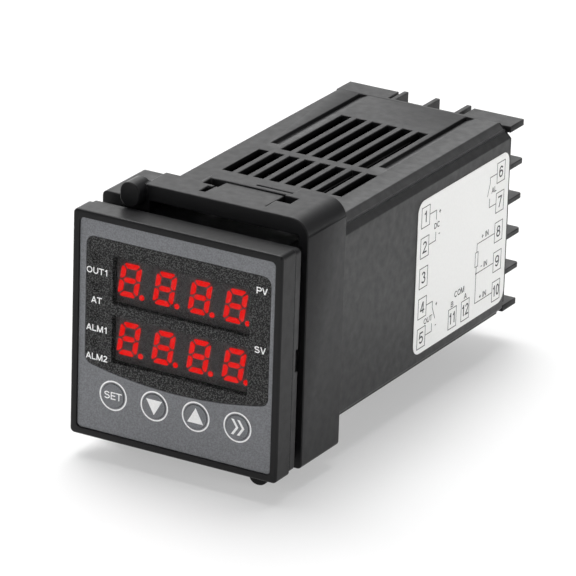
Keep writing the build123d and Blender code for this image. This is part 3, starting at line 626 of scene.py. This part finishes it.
def letter(character, weight):
    """Advance and strokes of a character. Capitals are 1 high, strokes run along their middles."""
    half = weight / 2
    low, high = half, 1 - half
    stem = 0.07 + half
    round_high = 0.5 - half

    def bowl(bottom, top, start, middle, wide):
        turn = arc(middle, (bottom + top) / 2, wide, (top - bottom) / 2, 90, -90)
        return ("line", [(start, top)] + turn + [(start, bottom)])

    upper = (0.52 + high) / 2
    lower = (0.52 + low) / 2
    upper_high, lower_high = high - upper, lower - low
    shapes = {
        " ": (0.4, ()),
        "+": (0.8, (("line", ((0.1, 0.45), (0.7, 0.45))), ("line", ((0.4, 0.15), (0.4, 0.75))))),
        "-": (0.6, (("line", ((0.08, 0.45), (0.52, 0.45))),)),
        "A": (0.95, (
            ("slope", ((0.02 + half, 0), (0.475, 1))), ("slope", ((0.93 - half, 0), (0.475, 1))),
            ("line", ((0.2, 0.31), (0.75, 0.31))),
        )),
        "B": (0.92, (
            ("line", ((stem, 0), (stem, 1))),
            bowl(0.52, high, stem, 0.5, 0.27), bowl(low, 0.52, stem, 0.52, 0.3),
        )),
        "C": (1.0, (("line", arc(0.52, 0.5, 0.47 - half, round_high, 42, 318, 20)),)),
        "D": (0.99, (
            ("line", ((stem, 0), (stem, 1))), bowl(low, high, stem, 0.45, 0.46 - half),
        )),
        "E": (0.84, (
            ("line", ((0.78, high), (stem, high), (stem, low), (0.79, low))),
            ("line", ((stem, 0.52), (0.74, 0.52))),
        )),
        "I": (0.36, (("line", ((0.18, 0), (0.18, 1))),)),
        "L": (0.78, (("line", ((stem, 1), (stem, low), (0.75, low))),)),
        "M": (1.14, (
            ("line", ((stem, 0), (stem, 1))), ("line", ((1.14 - stem, 0), (1.14 - stem, 1))),
            ("slope", ((0.57, 0), (stem + half * 0.3, 1))),
            ("slope", ((0.57, 0), (1.14 - stem - half * 0.3, 1))),
        )),
        "N": (0.99, (
            ("line", ((stem, 0), (stem, 1))), ("line", ((0.99 - stem, 0), (0.99 - stem, 1))),
            ("slope", ((0.99 - stem, 0), (stem, 1))),
        )),
        "O": (1.07, (("loop", loop(0.535, 0.5, 0.49 - half, round_high)),)),
        "P": (0.9, (
            ("line", ((stem, 0), (stem, 1))), bowl(0.44, high, stem, 0.54, 0.31 - half * 0.4),
        )),
        "S": (0.93, (
            ("line", arc(0.46, upper, 0.35 - half * 0.4, upper_high, 20, 270, 14)
             + arc(0.46, lower, 0.37 - half * 0.4, lower_high, 90, -160, 14)[1:]),
        )),
        "T": (0.86, (("line", ((0.02, high), (0.84, high))), ("line", ((0.43, 0), (0.43, high))))),
        "U": (0.99, (
            ("line", [(stem, 1), (stem, 0.4)]
             + arc(0.495, 0.4, 0.425 - half, 0.4 - half, 180, 360)[1:-1]
             + [(0.99 - stem, 0.4), (0.99 - stem, 1)]),
        )),
        "V": (0.92, (
            ("slope", ((0.02 + half, 1), (0.46, 0))), ("slope", ((0.9 - half, 1), (0.46, 0))),
        )),
        "0": (0.76, (("loop", loop(0.38, 0.5, 0.34 - half, round_high)),)),
        "1": (0.76, (
            ("line", ((0.45, 0), (0.45, 1))), ("line", ((0.16, 0.74), (0.34, 0.79), (0.45, 0.96))),
        )),
        "2": (0.76, (
            ("line", arc(0.38, 0.7, 0.33 - half, 0.3 - half, 165, -35)
             + [(0.06 + half, low), (0.72, low)]),
        )),
        "3": (0.76, (
            ("line", arc(0.37, upper, 0.3 - half, upper_high, 160, -90)),
            ("line", arc(0.37, lower, 0.34 - half, lower_high, 90, -160)),
        )),
        "4": (0.76, (
            ("line", ((0.53, 0), (0.53, 1))), ("line", ((0.03, 0.27), (0.73, 0.27))),
            ("slope", ((0.03 + half, 0.27), (0.53 - half * 0.3, 1))),
        )),
        "5": (0.76, (
            ("line", [(0.68, high), (0.19, high), (0.12, 0.5)]
             + arc(0.37, 0.33, 0.35 - half, 0.33 - half, 125, -150)),
        )),
        "6": (0.76, (
            ("loop", loop(0.39, 0.33, 0.34 - half, 0.33 - half)),
            ("line", arc(0.41, 0.5, 0.36 - half, round_high, 40, 190)),
        )),
        "7": (0.76, (
            ("line", ((0.05, high), (0.72, high))), ("slope", ((0.27, 0), (0.66, high))),
        )),
        "8": (0.76, (
            ("loop", loop(0.38, upper, 0.3 - half, upper_high)),
            ("loop", loop(0.38, lower, 0.34 - half, lower_high)),
        )),
        "9": (0.76, (
            ("loop", loop(0.37, 0.67, 0.34 - half, 0.33 - half)),
            ("line", arc(0.35, 0.5, 0.36 - half, round_high, 220, 370)),
        )),
    }
    return shapes[character]


# To the right and up, as one looks at the front and at the right-hand side
FRONT = ((1, 0, 0), (0, 0, 1))
RIGHT = ((0, 1, 0), (0, 0, 1))

# Words on the window, in millimetres: text, place of its middle, height of a capital
WINDOW_WORDS = (
    ("OUT1", -18.3, 11.7, 1.36), ("AT", -18.4, 5.5, 1.36),
    ("ALM1", -18.15, -0.5, 1.36), ("ALM2", -18.15, -6.6, 1.36),
    ("PV", 19.35, 15.8, 1.4), ("SV", 19.3, 3.35, 1.4),
)
WINDOW_WORD_WEIGHT = 0.175
WINDOW_WORD_SPREAD = 1.04

# Marks on and round the keys, in millimetres
RING_OUTER = 3.2
RING_INNER = 2.88
ARROW_HALF_WIDTH = 1.85
ARROW_HEIGHT = 3.25
ARROW_BASE = 0.42           # share of an arrow's height behind the middle of its key
CHEVRON_REACH = 1.1
CHEVRON_HEIGHT = 1.65
CHEVRON_WIDTH = 0.5
CHEVRON_PITCH = 1.25        # over its reach
SET_HEIGHT = 1.6
SET_WEIGHT = 0.15


def window_print(materials):
    """Words beside the figures."""
    words = Sheet()
    for text, u, v, height in WINDOW_WORDS:
        words.words(text, u, v, height, WINDOW_WORD_WEIGHT, WINDOW_WORD_SPREAD)
    words.place(
        "window_words", (0, WINDOW_FRONT, 0), *FRONT, materials["white_ink"], "label",
        "front_unit",
    )


def key_rings(materials):
    """White ring on the film round each key."""
    rings = Sheet()
    for node in KEY_NODES:
        rings.ring(*key_middle(node), RING_OUTER, RING_INNER)
    rings.place(
        "key_rings", (0, FILM_FRONT, 0), *FRONT, materials["white_ink"], "label", "front_unit",
    )


def key_middle(node):
    """Middle of a key's cap, in millimetres."""
    low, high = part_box(node)
    return (low.x + high.x) / 2 / MM, (low.z + high.z) / 2 / MM


def key_mark(node, materials):
    """Word, arrow or chevrons on a key's cap."""
    u, v = key_middle(node)
    mark = Sheet()
    if node == "key_set":
        mark.words("SET", u, v, SET_HEIGHT, SET_WEIGHT)
    elif node == "key_shift":
        for shift in (-1, CHEVRON_PITCH - 1):
            start = u + CHEVRON_REACH * shift
            for end in (v + CHEVRON_HEIGHT, v - CHEVRON_HEIGHT):
                mark.slope((start, end), (start + CHEVRON_REACH, v), CHEVRON_WIDTH)
    else:
        way = ARROW_HEIGHT if node == "key_up" else -ARROW_HEIGHT
        mark.polygon((
            (u - ARROW_HALF_WIDTH, v - way * ARROW_BASE),
            (u + ARROW_HALF_WIDTH, v - way * ARROW_BASE),
            (u, v + way * (1 - ARROW_BASE)),
        ))
    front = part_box(node)[0].y
    mark.place(node + "_mark", (0, front, 0), *FRONT, materials["white_ink"], "label", node)


# Wiring drawing on the label: places along the case and up it, in millimetres
CELL_WIDTH = 3.4
CELL_HEIGHT = 4.4
CELL_PITCH = 6.65
CELL_TOP = 12.75
LEFT_CELLS = 54.6
RIGHT_CELLS = 87.15
LOWER_CELLS = ((68.0, "11"), (73.6, "12"))
LINE_WIDTH = 0.17
NUMERAL_HEIGHT = 2.5
NUMERAL_WEIGHT = 0.135
SMALL_WORD = 1.25
SMALL_WEIGHT = 0.16
COM_WORD = SMALL_WORD * 1.1
WIRES_LEFT = LEFT_CELLS + CELL_WIDTH / 2
WIRES_RIGHT = RIGHT_CELLS - CELL_WIDTH / 2
ROWS = tuple(CELL_TOP - i * CELL_PITCH for i in range(5))
SUPPLY_X = 59.2
OUTPUT_X = 59.0
ALARM_X = 82.5
INPUT_X = 77.8
SIGN_X = 60.7
INPUT_WORD_X = 81.2
RESISTOR_LOW, RESISTOR_HIGH = -5.6, -2.4
RESISTOR_HALF = 0.6
JUNCTION = 0.28

# Wires of each circuit, and its words
SUPPLY_WIRES = (
    ((WIRES_LEFT, ROWS[0]), (SUPPLY_X, ROWS[0]), (SUPPLY_X, 10.7)),
    ((WIRES_LEFT, ROWS[1]), (SUPPLY_X, ROWS[1]), (SUPPLY_X, 8.0)),
)
SUPPLY_WORDS = (("DC", 59.6, 9.4), ("+", SIGN_X, 12.2), ("-", SIGN_X, 7.3))
OUTPUT_WIRES = (
    ((WIRES_LEFT, ROWS[3]), (OUTPUT_X, ROWS[3]), (OUTPUT_X, -8.6), (60.3, -11.4)),
    ((WIRES_LEFT, ROWS[4]), (OUTPUT_X, ROWS[4]), (OUTPUT_X, -12.1)),
)
OUTPUT_WORDS = (("OUT", 57.3, -10.7), ("+", SIGN_X, -8.2), ("-", SIGN_X, -12.9))
ALARM_WIRES = (
    ((WIRES_RIGHT, ROWS[0]), (ALARM_X, ROWS[0]), (ALARM_X, 11.6), (81.5, 8.8)),
    ((WIRES_RIGHT, ROWS[1]), (ALARM_X, ROWS[1]), (ALARM_X, 8.1)),
)
ALARM_WORDS = (("AL", 84.3, 9.6),)
INPUT_WORDS = (
    ("+ IN", INPUT_WORD_X, 0.6), ("- IN", INPUT_WORD_X, -6.1), ("+ IN", INPUT_WORD_X, -12.9),
)
DATA_WORDS = (("B", 67.7, -10.7), ("A", 73.5, -10.7))
COM_PLACE = (70.7, -8.9)


def cell(sheet, text, u, v):
    """Numbered box that stands for a terminal."""
    wide, high = CELL_WIDTH / 2, CELL_HEIGHT / 2
    sheet.frame(u - wide, v - high, u + wide, v + high, LINE_WIDTH)
    sheet.words(text, u, v, NUMERAL_HEIGHT, NUMERAL_WEIGHT, 1.0 if len(text) == 1 else 0.8)


def small_words(sheet, words):
    """Small words on the label: text and place of each."""
    for text, u, v in words:
        sheet.words(text, u, v, SMALL_WORD, SMALL_WEIGHT)


def wires(sheet, runs):
    """Thin lines on the label."""
    for run in runs:
        sheet.stroke(run, LINE_WIDTH)


def circuit(sheet, runs, words):
    """Wires of one circuit, and then its words."""
    wires(sheet, runs)
    small_words(sheet, words)


def sensor_inputs(sheet):
    """Wires to 8, 9 and 10, with a resistor in one of them and a junction."""
    wires(sheet, (((WIRES_RIGHT, ROWS[2]), (INPUT_X, ROWS[2]), (INPUT_X, RESISTOR_HIGH)),))
    sheet.frame(
        INPUT_X - RESISTOR_HALF, RESISTOR_LOW, INPUT_X + RESISTOR_HALF, RESISTOR_HIGH, LINE_WIDTH,
    )
    wires(sheet, (
        ((INPUT_X, RESISTOR_LOW), (INPUT_X, ROWS[4]), (WIRES_RIGHT, ROWS[4])),
        ((WIRES_RIGHT, ROWS[3]), (INPUT_X, ROWS[3])),
    ))
    sheet.disc(INPUT_X, ROWS[3], JUNCTION)
    small_words(sheet, INPUT_WORDS)


def label_print(materials):
    """Numbered terminals, the wires between them and what they are for."""
    sheet = Sheet()
    for i, v in enumerate(ROWS):
        cell(sheet, str(i + 1), LEFT_CELLS, v)
        cell(sheet, str(i + 6), RIGHT_CELLS, v)
    for u, text in LOWER_CELLS:
        cell(sheet, text, u, ROWS[-1])
    circuit(sheet, SUPPLY_WIRES, SUPPLY_WORDS)
    circuit(sheet, OUTPUT_WIRES, OUTPUT_WORDS)
    circuit(sheet, ALARM_WIRES, ALARM_WORDS)
    sensor_inputs(sheet)
    small_words(sheet, DATA_WORDS)
    sheet.words("COM", *COM_PLACE, COM_WORD, SMALL_WEIGHT)
    sheet.place(
        "label_print", (LABEL_FACE, 0, 0), *RIGHT, materials["black_ink"], "label", "housing",
    )


# Small parts on the boards, in millimetres. Faces are those that look away from each other.
POWER_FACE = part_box("power_board")[1].x / MM
CONTROL_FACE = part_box("control_board")[0].x / MM

# Place along the case and up it, and size, which is length and width
LARGE, SMALL = (3.2, 1.6), (2.0, 1.25)
POWER_CHIPS = (
    (33.0, 13.4, LARGE), (33.0, 10.6, LARGE), (36.4, 14.2, SMALL), (33.4, -4.0, LARGE),
    (33.4, -6.8, LARGE), (38.2, -8.6, SMALL), (12.4, -13.4, LARGE), (16.6, -13.4, LARGE),
    (20.8, -13.4, SMALL), (47.2, 9.4, SMALL), (47.2, 6.8, SMALL), (56.4, 9.0, LARGE),
    (60.8, 9.0, SMALL), (64.8, 9.0, SMALL),
)
CONTROL_CHIPS = (
    (22.0, 9.4, SMALL), (22.0, 7.0, SMALL), (22.0, -7.6, SMALL), (29.0, 9.2, SMALL),
    (33.2, 9.2, SMALL), (29.4, -9.6, LARGE), (40.6, 3.8, SMALL), (40.6, 1.2, SMALL),
    (40.6, -1.4, SMALL), (44.8, 10.6, LARGE), (49.6, 10.6, LARGE), (12.6, 12.8, SMALL),
    (16.4, 12.8, SMALL), (62.2, -6.4, LARGE), (66.8, -6.4, SMALL),
)
CHIP_THICKNESS = 0.55       # over the width of a small part
CHIP_EDGE = 0.06
CAP_SHARE = 0.2             # of its length, at each end
CAP_PROUD = 0.03

# Solder joints: places, and the row of pins between the boards
POWER_JOINTS = (
    (38.6, -2.0), (44.4, -2.0), (38.6, 3.5), (44.4, 3.5), (38.6, 13.0), (44.4, 13.0),
    (22.5, -1.0), (27.5, -1.0),
)
CONTROL_JOINTS = ((56.5, 1.6), (56.5, 13.4), (61.5, 7.5), (71.5, 1.6), (71.5, 13.4))
PIN_ROW = (4.6, 10.0, 2.5)  # place along the case, reach up and down, pitch
PIN_SIZE = 0.6              # over the size of the other joints
JOINT_RADIUS = 0.85
JOINT_TIP = 0.3
JOINT_HEIGHT = 0.6
JOINT_SIDES = 16
JOINT_EDGE = 0.12

# Legs of the flat chips: node, count and pitch, and the sides that have them
CHIP_LEGS = (("controller_chip", 11, 0.8, "yz"), ("driver_chip", 7, 1.27, "y"))
LEG_KNEE = 0.45             # out from the chip
LEG_FOOT = 1.0              # out from the chip
LEG_HEIGHT = 0.9
LEG_WIDTH = 0.32
LEG_THICKNESS = 0.16
LEG_EDGE = 0.04

# Print on the boards, and gilt fingers: start and end along the case, and width
OUTLINE_ROOM = 0.7
LEGS_ROOM = 1.5
POWER_FRAME = (30.6, 9.2, 35.4, 14.8)
CONTROL_FRAME = (38.8, -2.8, 42.4, 5.2)
PRINT_WIDTH = 0.2
FINGERS = (73.6, 79.6, 3.0)


def add_box(work, low, high):
    """Box between two corners, in millimetres."""
    low, high = Vector(low), Vector(high)
    size = high - low
    matrix = Matrix.Translation((low + high) / 2 * MM) @ Matrix.Diagonal((*(size * MM), 1))
    bmesh.ops.create_cube(work, size=1.0, matrix=matrix)


def solid_piece(name, work, material, body, edge):
    """Piece from gathered shapes, with its edges rounded by this many millimetres."""
    mesh = bpy.data.meshes.new(name)
    work.to_mesh(mesh)
    work.free()
    piece = new_object(name, mesh)
    mesh.materials.append(material)
    rounding = piece.modifiers.new("edges", "BEVEL")
    rounding.width = edge * MM
    rounding.segments = 2
    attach(piece, body)
    return piece


def small_parts(materials, name, face, out, rows):
    """Chip resistors and capacitors on a board's face: bodies, and their tinned ends."""
    bodies, ends = bmesh.new(), bmesh.new()
    for y, z, (length, width) in rows:
        thick = width * CHIP_THICKNESS
        cap = length * CAP_SHARE
        add_box(bodies, (face, y - length / 2 + cap, z - width / 2),
                (face + out * thick, y + length / 2 - cap, z + width / 2))
        for side in (-1, 1):
            tip, start = y + side * length / 2, y + side * (length / 2 - cap)
            add_box(ends, (face, tip, z - width / 2 - CAP_PROUD),
                    (face + out * (thick + CAP_PROUD), start, z + width / 2 + CAP_PROUD))
    for work in (bodies, ends):
        bmesh.ops.recalc_face_normals(work, faces=work.faces)
    solid_piece(name + "_chips", bodies, materials["chip"], "front_unit", CHIP_EDGE)
    solid_piece(name + "_chip_ends", ends, materials["steel"], "front_unit", CHIP_EDGE)


def solder_joints(materials, name, face, out, places):
    """Soldered lead ends on a board's face."""
    work = bmesh.new()
    row, reach, pitch = PIN_ROW
    count = int(2 * reach / pitch) + 1
    pins = [(row, -reach + pitch * i, PIN_SIZE) for i in range(count)]
    turn = Matrix.Rotation(math.radians(90 * out), 4, "Y")
    for y, z, size in [(y, z, 1.0) for y, z in places] + pins:
        middle = Vector((face + out * JOINT_HEIGHT * size / 2, y, z)) * MM
        bmesh.ops.create_cone(
            work, cap_ends=True, segments=JOINT_SIDES, radius1=JOINT_RADIUS * size * MM,
            radius2=JOINT_TIP * size * MM, depth=JOINT_HEIGHT * size * MM,
            matrix=Matrix.Translation(middle) @ turn,
        )
    piece = solid_piece(
        name + "_joints", work, materials["steel"], "front_unit", JOINT_EDGE,
    )
    for polygon in piece.data.polygons:
        polygon.use_smooth = True


def add_leg(work, side, edge, way, middle):
    """Bent leg: a low foot on the control board, and a tall stretch up to the chip."""
    foot, knee = edge + way * LEG_FOOT, edge + way * LEG_KNEE
    for height, start, end in ((LEG_THICKNESS, knee, foot), (LEG_HEIGHT, edge, knee)):
        low, high = (start, middle - LEG_WIDTH / 2), (end, middle + LEG_WIDTH / 2)
        if side == "z":
            low, high = low[::-1], high[::-1]
        add_box(work, (CONTROL_FACE - height, *low), (CONTROL_FACE, *high))


def chip_legs(materials, node, count, pitch, sides):
    """Rows of legs on these sides of a flat chip on the control board."""
    low, high = (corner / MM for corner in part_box(node))
    work = bmesh.new()
    for i in range(count):
        shift = (i - (count - 1) / 2) * pitch
        for side in sides:
            across = "z" if side == "y" else "y"
            middle = (getattr(low, across) + getattr(high, across)) / 2 + shift
            add_leg(work, side, getattr(low, side), -1, middle)
            add_leg(work, side, getattr(high, side), 1, middle)
    bmesh.ops.recalc_face_normals(work, faces=work.faces)
    solid_piece(node + "_legs", work, materials["steel"], "front_unit", LEG_EDGE)


def board_print(materials, name, face, out, outlines):
    """White outlines round the components, and gilt fingers at the rear edge."""
    origin, axes = (face * MM, 0, 0), ((0, out, 0), (0, 0, 1))
    lines = Sheet()
    for y0, z0, y1, z1 in outlines:
        lines.frame(out * y0, z0, out * y1, z1, PRINT_WIDTH)
    lines.place(name + "_outlines", origin, *axes, materials["white_ink"], "label", "front_unit")
    start, end, width = FINGERS
    fingers = Sheet()
    for z in ROWS:
        fingers.polygon((
            (out * start, z - width / 2), (out * end, z - width / 2),
            (out * end, z + width / 2), (out * start, z + width / 2),
        ))
    fingers.place(name + "_fingers", origin, *axes, materials["brass"], "brass", "front_unit")


def outline_of(node, room=OUTLINE_ROOM):
    """Rectangle round a node as it lies on its board: y and z corners in millimetres."""
    low, high = (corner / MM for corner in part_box(node))
    return low.y - room, low.z - room, high.y + room, high.z + room


def board_details(materials):
    """What the boards carry beside their large components."""
    small_parts(materials, "power", POWER_FACE, 1, POWER_CHIPS)
    small_parts(materials, "control", CONTROL_FACE, -1, CONTROL_CHIPS)
    solder_joints(materials, "power", POWER_FACE, 1, POWER_JOINTS)
    solder_joints(materials, "control", CONTROL_FACE, -1, CONTROL_JOINTS)
    for row in CHIP_LEGS:
        chip_legs(materials, *row)
    board_print(materials, "power", POWER_FACE, 1, (
        outline_of("alarm_relay"), outline_of("film_capacitor"), POWER_FRAME,
    ))
    board_print(materials, "control", CONTROL_FACE, -1, (
        outline_of("controller_chip", LEGS_ROOM), outline_of("output_relay", 0.0), CONTROL_FRAME,
    ))


# Scene

def make_camera():
    """Camera where the photograph was taken from."""
    data = bpy.data.cameras.new("camera")
    data.lens = FOCAL_LENGTH
    data.sensor_width = SENSOR_WIDTH
    data.clip_start = CLIP_START
    data.clip_end = CLIP_END
    camera = new_object("camera", data)
    camera.location = CAMERA_PLACE
    look = (CAMERA_AIM - CAMERA_PLACE).to_track_quat("-Z", "Y").to_matrix()
    roll = Matrix.Rotation(math.radians(CAMERA_ROLL), 3, "Z")
    camera.rotation_mode = "QUATERNION"
    camera.rotation_quaternion = (look @ roll).to_quaternion()
    bpy.context.scene.camera = camera


def make_world():
    """White behind the object, and a softer fill that is brighter on one side."""
    world = bpy.data.worlds.new("studio")
    bpy.context.scene.world = world
    world.use_nodes = True
    tree = world.node_tree
    background = tree.nodes["Background"]
    set_values(background, Color=(1, 1, 1, 1))
    place = tree.nodes.new("ShaderNodeTexCoord")
    toward = tree.nodes.new("ShaderNodeVectorMath")
    toward.operation = "DOT_PRODUCT"
    toward.inputs[1].default_value = WORLD_BRIGHT_SIDE
    tree.links.new(place.outputs["Generated"], toward.inputs[0])
    fill = ramp(tree, toward.outputs["Value"], WORLD_FILL)
    mix = add_node(tree, "ShaderNodeMix", B=1.0)
    tree.links.new(seen_by(tree, "Is Camera Ray", "Is Transmission Ray"), mix.inputs["Factor"])
    tree.links.new(fill, mix.inputs["A"])
    tree.links.new(mix.outputs["Result"], background.inputs["Strength"])


def seen_by(tree, first, second):
    """1 for either of two kinds of ray, and 0 for the others."""
    path = tree.nodes.new("ShaderNodeLightPath")
    return math_node(tree, "MAXIMUM", path.outputs[first], path.outputs[second])


def make_floor():
    """Pale floor under the object, which keeps a soft shadow."""
    work = bmesh.new()
    bmesh.ops.create_grid(work, x_segments=1, y_segments=1, size=FLOOR_SIZE / 2)
    mesh = bpy.data.meshes.new("floor")
    work.to_mesh(mesh)
    work.free()
    floor = new_object("floor", mesh)
    floor.location.z = CAD_BOX[0].z - FLOOR_GAP
    mesh.materials.append(floor_finish("floor"))


def floor_finish(name):
    """Matt grey, with some plain white in it where the camera or a reflection sees it."""
    material, tree, shader = fresh_material(name)
    set_values(
        shader, Base_Color=(FLOOR_GREY, FLOOR_GREY, FLOOR_GREY, 1), Roughness=0.9,
        Specular_IOR_Level=0.0,
    )
    white = add_node(tree, "ShaderNodeEmission", Color=(1, 1, 1, 1), Strength=1.0)
    seen = seen_by(tree, "Is Camera Ray", "Is Glossy Ray")
    share = remap(tree, seen, 0.0, FLOOR_SHOW_THROUGH, 0.0, 1.0)
    blend_shaders(tree, share, shader.outputs["BSDF"], white.outputs["Emission"])
    return material


def make_lamps():
    """Large soft lamps, aimed at the middle of the object."""
    middle = (CAD_BOX[0] + CAD_BOX[1]) / 2
    for name, place, size, power in LAMPS:
        data = bpy.data.lights.new(name, "AREA")
        data.size = size
        data.energy = power
        lamp = new_object(name, data)
        lamp.location = place
        lamp.rotation_mode = "QUATERNION"
        lamp.rotation_quaternion = (middle - Vector(place)).to_track_quat("-Z", "Y")


def main():
    """The whole scene."""
    bpy.context.scene.view_settings.view_transform = "Standard"
    make_camera()
    make_world()
    make_floor()
    make_lamps()
    materials = make_materials()
    for name, node in NODES.items():
        paint(node.data, materials[slot_of(name)])
    for name, width in ROUNDED.items():
        dress(name, width, materials[slot_of(name)])
    for name in ("pv_segments", "sv_segments"):
        lit_figures(name, materials["figures"])
    window_print(materials)
    key_rings(materials)
    for node in KEY_NODES:
        key_mark(node, materials)
    label_print(materials)
    board_details(materials)


main()
